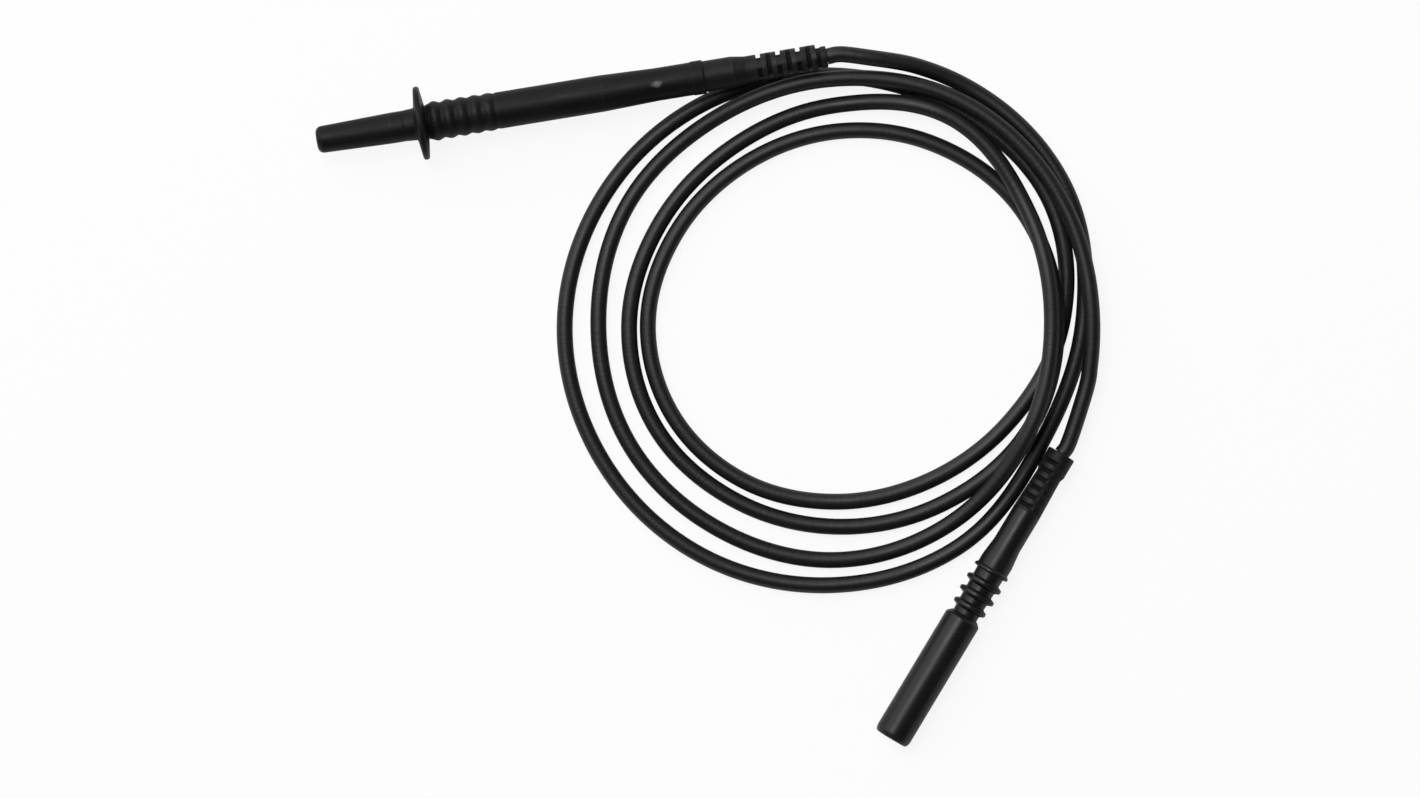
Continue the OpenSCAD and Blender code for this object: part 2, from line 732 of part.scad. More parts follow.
module plug_body() {
    function neck_d(place) = plug_neck_d
        + (plug_neck_end_d - plug_neck_d) * (place - shroud_len) / (head_start - shroud_len);
    color(gloss_black) along_plug() difference() {
        union() {
            bar(plug_spigot_d, shroud_depth, shroud_len + eps);
            rotate_extrude() polygon([[0, shroud_len], [plug_neck_d / 2, shroud_len],
                [plug_neck_end_d / 2, head_start], [head_lip_d / 2, head_start + edge / 2],
                [head_lip_d / 2, head_start + 2 * edge], [head_d / 2, head_start + 3 * edge],
                [head_d / 2, head_end], [tail_d / 2, tail_start], [tail_d / 2, body_end],
                [0, body_end]]);
            for (i = [0 : fins - 1])
                let (place = shroud_len + fin_first + i * fin_pitch)
                fin(place, neck_d(place) - 0.1, i == 0 ? fin_first_d : fin_d, fin_root_t, fin_rim_t);
        }
        bar(plug_bore_d, shroud_depth - eps, body_end + eps);
        bar(plug_boot_spigot_d + 2 * fit, plug_boot_spigot_start, body_end + eps);
    }
}

module plug_boot() {
    collar_start = plug_len - plug_boot_collar_len;
    color(soft_black) along_plug() difference() {
        union() {
            bar(plug_boot_spigot_d, plug_boot_spigot_start, body_end + eps);
            rotate_extrude() polygon([[0, body_end], [tail_d / 2, body_end],
                [plug_boot_waist_d / 2, collar_start - edge],
                [plug_boot_collar_d / 2, collar_start + edge],
                [plug_boot_collar_d / 2, plug_len - edge],
                [plug_boot_collar_d / 2 - edge, plug_len], [0, plug_len]]);
        }
        bar(cable_d + 2 * fit, plug_boot_spigot_start - eps, plug_len + eps);
        boot_slot_cuts(plug_slots_start, plug_boot_slots, plug_boot_collar_d, plug_bridge_w,
            plug_boot_roll, plug_slot_turn);
    }
}

tip_cap();
probe_tip();
tip_insulation();
tip_socket();
handle_core();
handle_shell();
handle_cable_ferrule();
handle_joint_sleeve();
handle_wire_strands();
handle_inner_insulation();
handle_cable_tail();
handle_boot();
cable();
plug_shroud();
contact_pin();
contact_cage();
contact_end_insulator();
contact_carrier();
plug_cable_ferrule();
plug_joint_sleeve();
plug_wire_strands();
plug_inner_insulation();
plug_cable_tail();
plug_body();
plug_boot();
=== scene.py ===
"""The looks of a test probe with a coiled lead and a shrouded 4 mm plug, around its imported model.

Lengths in the named values are in millimetres, and MM turns them into metres.
"""

import math
from collections import namedtuple

import bmesh
import bpy
from mathutils import Matrix, Vector


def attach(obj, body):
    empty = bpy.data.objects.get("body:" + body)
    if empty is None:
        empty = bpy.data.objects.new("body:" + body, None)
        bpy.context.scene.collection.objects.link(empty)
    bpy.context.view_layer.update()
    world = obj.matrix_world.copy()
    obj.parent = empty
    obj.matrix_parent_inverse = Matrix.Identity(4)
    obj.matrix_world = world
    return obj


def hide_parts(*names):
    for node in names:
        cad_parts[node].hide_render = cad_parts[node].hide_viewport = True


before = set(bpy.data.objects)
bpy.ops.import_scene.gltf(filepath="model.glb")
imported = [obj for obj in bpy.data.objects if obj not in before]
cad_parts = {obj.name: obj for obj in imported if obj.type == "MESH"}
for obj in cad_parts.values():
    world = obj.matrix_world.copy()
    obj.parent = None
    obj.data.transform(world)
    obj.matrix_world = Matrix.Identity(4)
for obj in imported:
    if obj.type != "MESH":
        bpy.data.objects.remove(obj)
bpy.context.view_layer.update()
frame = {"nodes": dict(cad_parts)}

MM = 0.001

# ---- sizes shared with the model ----

# Handle: places run from the cap's closed end, and its axis lies along X
CAP_LEN = 21.2
CAP_TAPER_LEN = 18
CAP_FRONT_R = 3.2
CAP_REAR_R = 3.7
CAP_EDGE_R = 2.3
CAP_END_T = 1.4
CAP_BORE_R = 2.1
SPIGOT_START = 14.2
SPIGOT_R = 2.65
NEEDLE_START = 2.0
NEEDLE_POINT_LEN = 1.6
NEEDLE_R = 1.0
STEM_R = 1.25
STEM_END = 37.1
INSULATION_START = 6.0
INSULATION_R = 1.8
GUARD_START = 24.0
GUARD_END = 26.7
GUARD_RIM_T = 1.3
GUARD_R = 8.85
GUARD_EDGE_R = 0.58
FLARE_R = 3.9
CORE_START = 27.1
GRIP_START = 27.3
GRIP_RINGS = 5
GRIP_PITCH = 3.25
GRIP_VALLEY_R = 4.25
GRIP_FIRST_R = 4.8
GRIP_LAST_R = 4.55
GRIP_WEAR = 0.8
BARREL_R = 4.4
TAPER_START = 69.25
TAPER_END = 82.45
REAR_R = 3.95
COLLAR_START = 90.85
COLLAR_R = 4.1
COLLAR_EDGE_R = 0.4
SHELL_END = 94.05
SHELL_BORE_R = 3.0
BOOT_SPIGOT_START = 87.05
BOOT_BASE_R = 3.75
BOOT_BASE_END = 100.85
BOOT_TUBE_START = 104.05
BOOT_R = 3.25
BOOT_SLOTS_START = 106.85
BOOT_SLOTS = 7
BOOT_ROLL = 77
BOOT_SLOT_TURN = 90
BOOT_BRIDGE_HALF = 1.1
BOOT_END_R = 3.3
BOOT_TIP_R = 2.6
HANDLE_LEN = 123.75
HANDLE_H = 8.85
GATE_MARK_R = 1.1
GATE_MARK_DEPTH = 0.15
GATE_MARK_SLOPE = 0.5
GATE_RING_STEP = 0.12
GATE_RINGS = 13

# Slots of both boots
SLOT_PITCH = 2.4
SLOT_W = 1.1
SLOT_FLOOR_R = 2.35
SLOT_LIP = 0.13
SLOT_FOOT = 0.02

# How worn a slot's rounded lip is, and how deep the painted shade on its wall and floor is
LIP_WEAR, WALL_PAINTED_SHADE, FLOOR_PAINTED_SHADE = 0.8, -0.3, -1

# Cable
CABLE_R = 1.95
BOOT_BORE_R = 2.0
BORE_CHAMFER = 0.15

# Plug: places run from the shroud's mouth, and its axis lies along its heading
PLUG_LEN = 79.75
PLUG_EXIT = (102.2, -103)
PLUG_HEADING = 49.7
PLUG_H = 4.6
SHROUD_R = 4.5
SHROUD_LEN = 34.5
SHROUD_BORE_R = 3.4
SHROUD_DEPTH = 27.0
SHROUD_EDGE_R = 0.85
SHROUD_EDGE_LEN = 1.6
SHROUD_CHAMFER = 1.1
PLUG_SPIGOT_R = 2.95
PLUG_NECK_R = 3.15
PLUG_NECK_END_R = 3.55
FIN_FIRST = 36.8
FIN_PITCH = 3.3
FINS = 3
FIN_FIRST_R = 4.3
FIN_R = 4.6
FIN_ROOT_T = 1.9
FIN_RIM_T = 0.9
HEAD_START = 46.3
HEAD_LIP_R = 4.5
HEAD_R = 4.0
HEAD_END = 49.7
TAIL_START = 54.1
TAIL_R = 3.5
BODY_END = 63.6
PLUG_BORE_R = 2.45
PLUG_BOOT_SPIGOT_START = 56.8
PLUG_BOOT_SPIGOT_R = 2.6
PLUG_BOOT_SLOTS_START = 64.25
PLUG_BOOT_SLOTS = 6
PLUG_BOOT_ROLL = 140
PLUG_BOOT_SLOT_TURN = 0
PLUG_BOOT_BRIDGE_HALF = 2.1
PLUG_BOOT_WAIST_R = 3.1
PLUG_BOOT_COLLAR_START = 74.15
PLUG_BOOT_COLLAR_R = 3.5

# Chamfers and steps on moulded edges, and the clearances between pieces
EDGE = 0.4
HAIR = 0.02
FIT = 0.05
RUNNING_FIT = 0.08

# Fillets where two pieces meet, and at corners inside a piece
SEAM_R = 0.05
INNER_R = 0.1

# The share of a corner's shorter side that its fillet may take up, and how far beyond the
# fillet the ring lies that keeps the flat beside it flat
FILLET_SHARE = 0.45
CORNER_GUARD = 0.15

# The cable's route: a coil whose distance from its middle changes from station to station
COIL_MIDDLE = (53.7, -63.2)
COIL_FIRST_ANGLE = 81
STATION_STEP = 30
CABLE_STRAIGHT = 3.5
COIL_RADII = [
    63.5, 65.0, 64.1, 59.6, 57.3, 61.3, 63.0, 64.5, 65.1, 65.1, 63.5, 61.5,
    59.5, 59.0, 59.4, 54.6, 48.1, 44.1, 43.0, 43.9, 45.0, 45.1, 44.0, 44.0,
    46.0, 49.2, 52.5, 53.0, 53.0, 50.5, 49.0, 49.0, 50.0, 49.6, 48.5, 49.0,
    52.3, 56.4, 53.2, 51.6, 53.0, 55.5, 57.0, 57.0, 57.5, 57.0, 57.5, 57.0,
    58.5, 61.0, 61.5, 61.5, 63.0]
LAY_1, LAY_2, LAY_3 = 1.95, 6.4, 10.85
CLIMBS = [(3, HANDLE_H), (34, LAY_1), (780, LAY_1), (808, LAY_2), (830, LAY_2), (855, LAY_1),
          (1078, LAY_1), (1108, LAY_2), (1130, LAY_2), (1165, LAY_3), (1192, LAY_3),
          (1238, LAY_1), (1394, LAY_1), (1432, LAY_2), (1525, LAY_2), (1557, PLUG_H)]
FIRST_TRAVEL = 8
SECOND_TRAVEL = 15
LAST_TRAVEL = 1545
ROUTE_SPACING = 1.3

# The view: straight down on the middle of the picture, with the handle turned a little, and
# the side that both lamps stand on
VIEW_MIDDLE = (20.98, -76.36)
VIEW_HEIGHT = 1505
VIEW_TURN = -9.33
VIEW_WIDTH = 340.8
VIEW_PLANE = 5
SENSOR_W = 36
LIGHT_HEADING = 121

# Faces that meet at more degrees than this keep a sharp edge
SHARP_ANGLE = 50


# ---- view, light and floor ----

def make_camera():
    data = bpy.data.cameras.new("camera")
    data.sensor_width = SENSOR_W
    data.lens = SENSOR_W * (VIEW_HEIGHT - VIEW_PLANE) / VIEW_WIDTH
    camera = bpy.data.objects.new("camera", data)
    bpy.context.scene.collection.objects.link(camera)
    camera.location = Vector((*VIEW_MIDDLE, VIEW_HEIGHT)) * MM
    camera.rotation_euler = (0, 0, math.radians(VIEW_TURN))
    bpy.context.scene.camera = camera


def make_softbox(name, heading, height, distance, size, brightness):
    """A square lamp that looks at the object. At brightness 1 it looks as white as paper."""
    data = bpy.data.lights.new(name, "AREA")
    data.shape = "SQUARE"
    data.size = size
    data.energy = brightness * math.pi * size * size
    lamp = bpy.data.objects.new(name, data)
    bpy.context.scene.collection.objects.link(lamp)
    a, e = math.radians(heading), math.radians(height)
    out = Vector((math.cos(a) * math.cos(e), math.sin(a) * math.cos(e), math.sin(e)))
    lamp.location = Vector((*VIEW_MIDDLE, 0)) * MM + out * distance
    lamp.rotation_euler = out.to_track_quat("Z", "Y").to_euler()


def make_world(ceiling=0.06, backdrop_top=4, ceiling_start=15):
    """A white backdrop all round, up to an angle above the floor, below a dim ceiling."""
    world = bpy.data.worlds.new("studio")
    bpy.context.scene.world = world
    world.use_nodes = True
    nodes, links = world.node_tree.nodes, world.node_tree.links
    up = nodes.new("ShaderNodeSeparateXYZ")
    links.new(nodes.new("ShaderNodeTexCoord").outputs["Generated"], up.inputs[0])
    fade = nodes.new("ShaderNodeMapRange")
    fade.interpolation_type = "SMOOTHSTEP"
    links.new(up.outputs["Z"], fade.inputs["Value"])
    for name, value in (("From Min", math.sin(math.radians(backdrop_top))),
                        ("From Max", math.sin(math.radians(ceiling_start))),
                        ("To Min", 1), ("To Max", ceiling)):
        fade.inputs[name].default_value = value
    light = nodes["Background"]
    light.inputs["Color"].default_value = (1, 1, 1, 1)
    links.new(fade.outputs["Result"], light.inputs["Strength"])


def make_floor(size=6, paper=0.88, glow=0.89):
    """White paper that keeps the object's shadow, faint as in the picture."""
    mesh = bpy.data.meshes.new("floor")
    half = size / 2
    mesh.from_pydata([(-half, -half, 0), (half, -half, 0), (half, half, 0), (-half, half, 0)],
                     [], [(0, 1, 2, 3)])
    floor = bpy.data.objects.new("floor", mesh)
    bpy.context.scene.collection.objects.link(floor)
    material = bpy.data.materials.new("floor_paper")
    material.use_nodes = True
    nodes, links = material.node_tree.nodes, material.node_tree.links
    lit = nodes["Principled BSDF"]
    lit.inputs["Base Color"].default_value = (paper, paper, paper, 1)
    lit.inputs["Roughness"].default_value = 1
    lit.inputs["Specular IOR Level"].default_value = 0
    white = nodes.new("ShaderNodeEmission")
    share = nodes.new("ShaderNodeMath")
    share.operation = "MULTIPLY"
    share.inputs[1].default_value = glow
    mix = nodes.new("ShaderNodeMixShader")
    links.new(nodes.new("ShaderNodeLightPath").outputs["Is Camera Ray"], share.inputs[0])
    links.new(share.outputs[0], mix.inputs[0])
    links.new(lit.outputs[0], mix.inputs[1])
    links.new(white.outputs[0], mix.inputs[2])
    links.new(mix.outputs[0], nodes["Material Output"].inputs["Surface"])
    mesh.materials.append(material)


# ---- outlines ----

# One ring of a turned piece: where it is along the axis, its radius, how worn its surface is
# from handling, from 0 to 1 (partly a painted highlight on the shroud's mouth), or down to -1
# for painted shade deep in a slot, how deep that slot bites into it, which way the slot's
# bridges face and half their width
Ring = namedtuple("Ring", "place radius wear bite roll bridge", defaults=(0, 0, 0, 0))


def smooth(share):
    """Eases a share from 0 to 1, level at both ends."""
    return share * share * (3 - 2 * share)


def between(a, b, c, d, u):
    """A smooth curve from b to c, for u from 0 to 1, with a before them and d after them."""
    return b + 0.5 * u * (c - a + u * (2 * a - 5 * b + 4 * c - d + u * (3 * (b - c) + d - a)))


def corner_rings(before, corner, after, fillet, steps):
    """Rings of the arc that rounds a corner, with a ring beyond each end to keep the flats flat."""
    into = (before - corner).normalized()
    out = (after - corner).normalized()
    half = into.angle(out) / 2
    room = FILLET_SHARE * min((before - corner).length, (after - corner).length)
    reach = min(fillet / math.tan(half), room)
    radius = reach * math.tan(half)
    middle = corner + (into + out).normalized() * radius / math.sin(half)
    first, last = corner + into * reach, corner + out * reach
    a, b = first - middle, last - middle
    turn = a.angle_signed(b)
    convex = (corner - before).cross(after - corner) < 0
    rings = []
    for i in range(steps + 1):
        angle = turn * i / steps
        spoke = Vector((a.x * math.cos(angle) + a.y * math.sin(angle),
                        a.y * math.cos(angle) - a.x * math.sin(angle)))
        wear = math.sin(math.pi * i / steps) if convex else 0
        rings.append(Ring(*(middle + spoke), wear))
    guard = min(CORNER_GUARD, room / 3)
    return [Ring(*(first + into * guard)), *rings, Ring(*(last + out * guard))]


def rounded(corners, closed=False, steps=6):
    """Rings through corners (place, radius, fillet). A corner with no fillet stays sharp."""
    points = [Vector(c[:2]) for c in corners]
    rings = []
    for i, corner in enumerate(corners):
        inner = closed or 0 < i < len(corners) - 1
        if len(corner) == 3 and inner:
            after = points[(i + 1) % len(points)]
            rings += corner_rings(points[i - 1], points[i], after, corner[2], steps)
        else:
            rings.append(Ring(*corner[:2]))
    return rings


def radius_on(rings, place):
    """Radius of an outline at a place, for an outline whose places only grow."""
    for a, b in zip(rings, rings[1:]):
        if a.place <= place <= b.place and b.place > a.place:
            return a.radius + (b.radius - a.radius) * (place - a.place) / (b.place - a.place)
    raise ValueError(f"no ring at {place}")


def slotted(rings, start, count, roll, turn, bridge):
    """The same outline with the rings of its slots: rounded lip, steep wall and flat floor."""
    edge = [(-SLOT_LIP, 0), (-0.5 * SLOT_LIP, 0.13 * SLOT_LIP), (-0.13 * SLOT_LIP, 0.5 * SLOT_LIP),
            (0, SLOT_LIP)]
    foot = [(SLOT_FOOT, SLOT_LIP), (0.3 * SLOT_LIP, 0.3 * SLOT_LIP), (SLOT_LIP, 0)]
    cuts = []
    for i in range(count):
        middle = start + i * SLOT_PITCH + SLOT_W / 2
        for side in (-1, 1):
            # The lip gets wear, and the wall and floor the depth of their painted shade
            for away, bite in edge:
                place = middle + side * (SLOT_W / 2 - away)
                wear = LIP_WEAR if bite < SLOT_LIP else WALL_PAINTED_SHADE
                cuts.append(Ring(place, radius_on(rings, place), wear, bite, roll + turn * i,
                                 bridge))
            for away, rise in foot:
                place = middle + side * (SLOT_W / 2 - away)
                deep = radius_on(rings, place) - SLOT_FLOOR_R - rise
                cuts.append(Ring(place, radius_on(rings, place), FLOOR_PAINTED_SHADE, deep,
                                 roll + turn * i, bridge))
    margin = SLOT_LIP + SLOT_FOOT
    whole = [ring for ring in rings
             if not any(-margin < ring.place - start - i * SLOT_PITCH < SLOT_W + margin
                        for i in range(count))]
    return sorted(whole + cuts, key=lambda ring: ring.place)


def slotted_radius(ring, angle):
    """Radius of a slotted ring: two bridges keep their width, and the rest is cut down."""
    aside = abs(math.sin(angle - math.radians(ring.roll)))
    floor = min(ring.radius, max(SLOT_FLOOR_R, ring.bridge / max(aside, 0.01)))
    return max(ring.radius - ring.bite, floor)


# ---- meshes ----

def on_handle():
    """Places a piece drawn along X, from the cap's closed end, along the handle."""
    return Matrix.Translation(Vector((-HANDLE_LEN / 2, 0, HANDLE_H)) * MM)


def on_plug():
    """Places a piece drawn along X, from the shroud's mouth, along the plug."""
    a = math.radians(PLUG_HEADING)
    start = Vector((PLUG_EXIT[0] - PLUG_LEN * math.cos(a), PLUG_EXIT[1] - PLUG_LEN * math.sin(a),
                    PLUG_H))
    return Matrix.Translation(start * MM) @ Matrix.Rotation(a, 4, "Z")


def finish_piece(name, rows, wear, closed, node, body, material):
    """One piece from rows of points: each row is a ring of places, or one place on the axis.

    wear holds a row of values for each row of points, or is None.
    """
    bm = bmesh.new()
    layer = bm.verts.layers.float.new("wear")
    rings = []
    for i, row in enumerate(rows):
        ring = [bm.verts.new(p) for p in row]
        for vert, worn in zip(ring, wear[i] if wear else []):
            vert[layer] = worn
        rings.append(ring)
    pairs = list(zip(rings, rings[1:]))
    if closed:
        pairs.append((rings[-1], rings[0]))
    for a, b in pairs:
        sides = max(len(a), len(b))
        for k in range(sides):
            n = (k + 1) % sides
            corners = [a[k % len(a)], a[n % len(a)], b[n % len(b)], b[k % len(b)]]
            bm.faces.new(list(dict.fromkeys(corners)))
    bmesh.ops.recalc_face_normals(bm, faces=bm.faces)
    mesh = bpy.data.meshes.new(name)
    bm.to_mesh(mesh)
    bm.free()
    mesh.shade_smooth()
    mesh.set_sharp_from_angle(angle=math.radians(SHARP_ANGLE))
    mesh.materials.append(material)
    piece = bpy.data.objects.new(name, mesh)
    bpy.context.scene.collection.objects.link(piece)
    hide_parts(node)
    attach(piece, body)
    return piece


def turned(name, rings, place, material, body="lead", closed=True, sides=96, shape=None):
    """A turned piece. shape gives the radius of a ring at an angle, where it isn't round."""
    rows, wear = [], []
    for ring in rings:
        row, worn = [], []
        for k in range(sides if ring.radius else 1):
            angle = 2 * math.pi * k / sides
            r = shape(ring, angle) if shape else ring.radius
            spot = Vector((ring.place, r * math.cos(angle), r * math.sin(angle)))
            row.append(place @ (spot * MM))
            worn.append(ring.wear * ((ring.radius - r) / ring.bite if ring.bite else 1))
        rows.append(row)
        wear.append(worn)
    node = name.removesuffix("_finish")
    return finish_piece(name, rows, wear, closed, node, body, material)


# ---- materials ----

# Most of a noise lies between these values
NOISE_LOW, NOISE_HIGH = 0.3, 0.7


class Finish:
    """A material being made: its shader, and short ways to put nodes in front of it."""

    def __init__(self, name, values):
        self.material = bpy.data.materials.new(name)
        self.material.use_nodes = True
        self.nodes = self.material.node_tree.nodes
        self.links = self.material.node_tree.links
        self.shader = self.nodes["Principled BSDF"]
        for socket, value in values.items():
            self.shader.inputs[socket].default_value = value

    def add(self, kind, inputs, **settings):
        node = self.nodes.new(kind)
        for name, value in settings.items():
            setattr(node, name, value)
        for socket, value in inputs.items():
            if isinstance(value, bpy.types.NodeSocket):
                self.links.new(value, node.inputs[socket])
            else:
                node.inputs[socket].default_value = value
        return node

    def place(self, turn=0, stretch=(1, 1, 1)):
        """Place on the piece, with X along its axis, drawn out where stretch is under 1."""
        spot = self.nodes.new("ShaderNodeTexCoord").outputs["Object"]
        straight = self.add("ShaderNodeVectorRotate",
                            {"Vector": spot, "Angle": -math.radians(turn)},
                            rotation_type="Z_AXIS").outputs[0]
        return self.add("ShaderNodeMapping", {"Vector": straight, "Scale": stretch}).outputs[0]

    def along_cable(self, stretch=(1, 1, 1)):
        """Place on the cable as if it lay straight along X."""
        spot = self.add("ShaderNodeAttribute", {}, attribute_name="straightened").outputs["Vector"]
        return self.add("ShaderNodeMapping", {"Vector": spot, "Scale": stretch}).outputs[0]

    def noise(self, spot, grain, detail=2, rough=0.5):
        """Noise whose patches are about grain millimetres across."""
        return self.add("ShaderNodeTexNoise", {"Vector": spot, "Scale": 1 / (grain * MM),
                                               "Detail": detail, "Roughness": rough}).outputs[0]

    def ease(self, value, low, high, to_low=0.0, to_high=1.0):
        return self.add("ShaderNodeMapRange", {"Value": value, "From Min": low, "From Max": high,
                                               "To Min": to_low, "To Max": to_high}).outputs[0]

    def spread(self, noise, low, high):
        """Spreads the middle values of a noise, where most of it lies, from low to high."""
        return self.ease(noise, NOISE_LOW, NOISE_HIGH, low, high)

    def sum(self, a, b, operation="ADD"):
        return self.add("ShaderNodeMath", {0: a, 1: b}, operation=operation).outputs[0]

    def colour(self, share, low, high):
        """Colour between two, by a share from 0 to 1 that comes from a node."""
        node = self.add("ShaderNodeMix", {}, data_type="RGBA")
        for socket, value in (("Factor", share), ("A", low), ("B", high)):
            found = [s for s in node.inputs if s.name == socket and s.enabled][0]
            if isinstance(value, bpy.types.NodeSocket):
                self.links.new(value, found)
            else:
                found.default_value = (*value, 1)
        return [s for s in node.outputs if s.enabled][0]

    def bump(self, height, depth, strength=1.0, under=None):
        """Bump whose height, from 0 to 1, stands for depth millimetres."""
        inputs = {"Height": height, "Distance": depth * MM, "Strength": strength}
        if under is not None:
            inputs["Normal"] = under
        return self.add("ShaderNodeBump", inputs).outputs[0]

    def wear(self, spot, grain=0.9):
        """Edges polished by handling, a painted highlight at the shroud's mouth, broken up by
        noise.
        """
        edge = self.add("ShaderNodeAttribute", {}, attribute_name="wear").outputs["Fac"]
        patchy = self.ease(self.noise(spot, grain, 3), 0.35, 0.7)
        return self.sum(edge, patchy, "MULTIPLY")

    def surface(self, colour, roughness, normal=None):
        self.links.new(colour, self.shader.inputs["Base Color"])
        self.links.new(roughness, self.shader.inputs["Roughness"])
        if normal is not None:
            self.links.new(normal, self.shader.inputs["Normal"])
        return self.material


def handle_plastic():
    """Black moulded plastic: fine satin grain, worn by fingers, a painted highlight at the gate."""
    made = Finish("handle_plastic", {"Specular IOR Level": 0.14})
    spot = made.place()
    cloud = made.noise(spot, 9, 4)
    grain = made.noise(spot, 0.22, 3, 0.6)
    flow = made.noise(made.place(stretch=(0.05, 1, 1)), 0.5, 2)
    worn = made.wear(spot)
    drawn_out = 0.6
    # A pale spot painted on the mould gate's dish stands in for its highlight
    gate = Vector((drawn_out * (TAPER_END - HANDLE_LEN / 2), 0, HANDLE_H + REAR_R)) * MM
    away = made.add("ShaderNodeVectorMath",
                    {0: made.place(stretch=(drawn_out, 1, 1)), 1: gate},
                    operation="DISTANCE").outputs["Value"]
    away = made.sum(away, made.spread(grain, 0, 0.3 * MM))
    painted_gate_highlight = made.ease(away, 0.4 * MM, 1.1 * MM, 1, 0)
    base = made.colour(cloud, (0.0035, 0.0035, 0.0036), (0.0065, 0.0064, 0.0063))
    base = made.colour(worn, base, (0.018, 0.0175, 0.017))
    base = made.colour(painted_gate_highlight, base, (0.13, 0.13, 0.13))
    rough = made.spread(cloud, 0.44, 0.54)
    rough = made.sum(rough, made.spread(flow, -0.04, 0.04))
    rough = made.sum(rough, made.sum(worn, 0.14, "MULTIPLY"), "SUBTRACT")
    normal = made.bump(flow, 0.012)
    return made.surface(base, rough, made.bump(grain, 0.02, 0.7, normal))


def plug_plastic(turn=PLUG_HEADING, name="plug_plastic"):
    """Smooth, glossier black plastic with faint smudges and hair-fine scratches."""
    made = Finish(name, {"Specular IOR Level": 0.25})
    spot = made.place(turn)
    smudge = made.noise(spot, 6, 4, 0.6)
    scratch = made.noise(made.place(turn, (0.03, 1, 1)), 0.12, 2, 0.7)
    speck = made.noise(spot, 0.3, 2)
    worn = made.wear(spot)
    base = made.colour(smudge, (0.006, 0.006, 0.0062), (0.0095, 0.0095, 0.0096))
    base = made.colour(worn, base, (0.02, 0.02, 0.02))
    rough = made.spread(smudge, 0.3, 0.4)
    rough = made.sum(rough, made.ease(scratch, 0.62, 0.8, 0, 0.12))
    normal = made.bump(scratch, 0.004)
    return made.surface(base, rough, made.bump(speck, 0.006, 0.6, normal))


def boot_rubber(turn, name):
    """Soft dull black rubber, fine matt skin, a little dust, and painted shade in its slots."""
    made = Finish(name, {"Specular IOR Level": 0.18})
    spot = made.place(turn)
    cloud = made.noise(spot, 4, 4, 0.6)
    skin = made.noise(spot, 0.16, 3, 0.6)
    dust = made.ease(made.noise(spot, 0.7, 5, 0.7), 0.62, 0.78)
    worn = made.wear(spot)
    base = made.colour(cloud, (0.004, 0.004, 0.0041), (0.008, 0.008, 0.008))
    base = made.colour(made.sum(dust, 0.35, "MULTIPLY"), base, (0.03, 0.029, 0.027))
    base = made.colour(worn, base, (0.02, 0.02, 0.02))
    # Painted shade: deep in the slots, by the negative wear, the base colour goes nearly black
    edge = made.add("ShaderNodeAttribute", {}, attribute_name="wear").outputs["Fac"]
    deep = made.ease(edge, -0.8, -0.1, 1, 0)
    base = made.colour(deep, base, (0.003, 0.003, 0.003))
    rough = made.sum(made.spread(cloud, 0.46, 0.56), made.sum(deep, 0.25, "MULTIPLY"))
    rough = made.sum(rough, made.sum(worn, 0.1, "MULTIPLY"), "SUBTRACT")
    return made.surface(base, rough, made.bump(skin, 0.018, 0.7))


def cable_rubber():
    """Black jacket with a soft sheen, faint lines from its extrusion and a little dust."""
    made = Finish("cable_rubber", {"Specular IOR Level": 0.4})
    spot = made.along_cable()
    cloud = made.noise(made.along_cable((0.3, 1, 1)), 3, 4, 0.6)
    lines = made.noise(made.along_cable((0.015, 1, 1)), 0.35, 2, 0.6)
    ripple = made.noise(made.along_cable((1, 0.1, 0.1)), 0.7, 1, 0.5)
    skin = made.noise(spot, 0.25, 3, 0.6)
    dust = made.ease(made.noise(spot, 0.6, 5, 0.7), 0.64, 0.8)
    base = made.colour(cloud, (0.003, 0.0029, 0.0029), (0.006, 0.0058, 0.0058))
    base = made.colour(made.sum(dust, 0.3, "MULTIPLY"), base, (0.025, 0.024, 0.023))
    rough = made.spread(cloud, 0.44, 0.53)
    rough = made.sum(rough, made.ease(lines, 0.35, 0.7, -0.03, 0.05))
    normal = made.bump(ripple, 0.05, 1, made.bump(lines, 0.012, 0.8))
    return made.surface(base, rough, made.bump(skin, 0.01, 0.6, normal))


def metal(name, low, high, smooth, dull, turn, ring_grain=0.12):
    """Turned metal: fine rings round its axis, with a patchy tarnish."""
    made = Finish(name, {"Metallic": 1.0})
    tarnish = made.noise(made.place(turn), 1.6, 4, 0.6)
    rings = made.noise(made.place(turn, (1, 0.02, 0.02)), ring_grain, 2, 0.6)
    base = made.colour(made.ease(tarnish, 0.35, 0.7), high, low)
    rough = made.spread(tarnish, smooth, dull)
    return made.surface(base, rough, made.bump(rings, 0.006, 0.8))


def copper_strands(name, turn):
    """Fine copper wires twisted together: bright ridges that run round the bundle at a slant."""
    made = Finish(name, {"Metallic": 1.0})
    twist = made.add("ShaderNodeTexWave", {"Vector": made.place(turn), "Scale": 900.0,
                                           "Distortion": 0.6, "Detail": 1.0},
                     wave_type="BANDS", bands_direction="DIAGONAL").outputs["Fac"]
    tarnish = made.noise(made.place(turn), 0.8, 3)
    base = made.colour(tarnish, (0.72, 0.34, 0.19), (0.86, 0.47, 0.30))
    return made.surface(base, made.spread(tarnish, 0.25, 0.4),
                        made.bump(twist, 0.05))


def moulded(name, low, high, smooth, dull, turn, grain=0.3, values=None):
    """Plain moulded or shrunk plastic inside the probe, slightly uneven in colour."""
    made = Finish(name, {"Specular IOR Level": 0.45, **(values or {})})
    spot = made.place(turn)
    cloud = made.noise(spot, 2.5, 4, 0.6)
    skin = made.noise(spot, grain, 3)
    return made.surface(made.colour(cloud, low, high), made.spread(cloud, smooth, dull),
                        made.bump(skin, 0.012, 0.7))


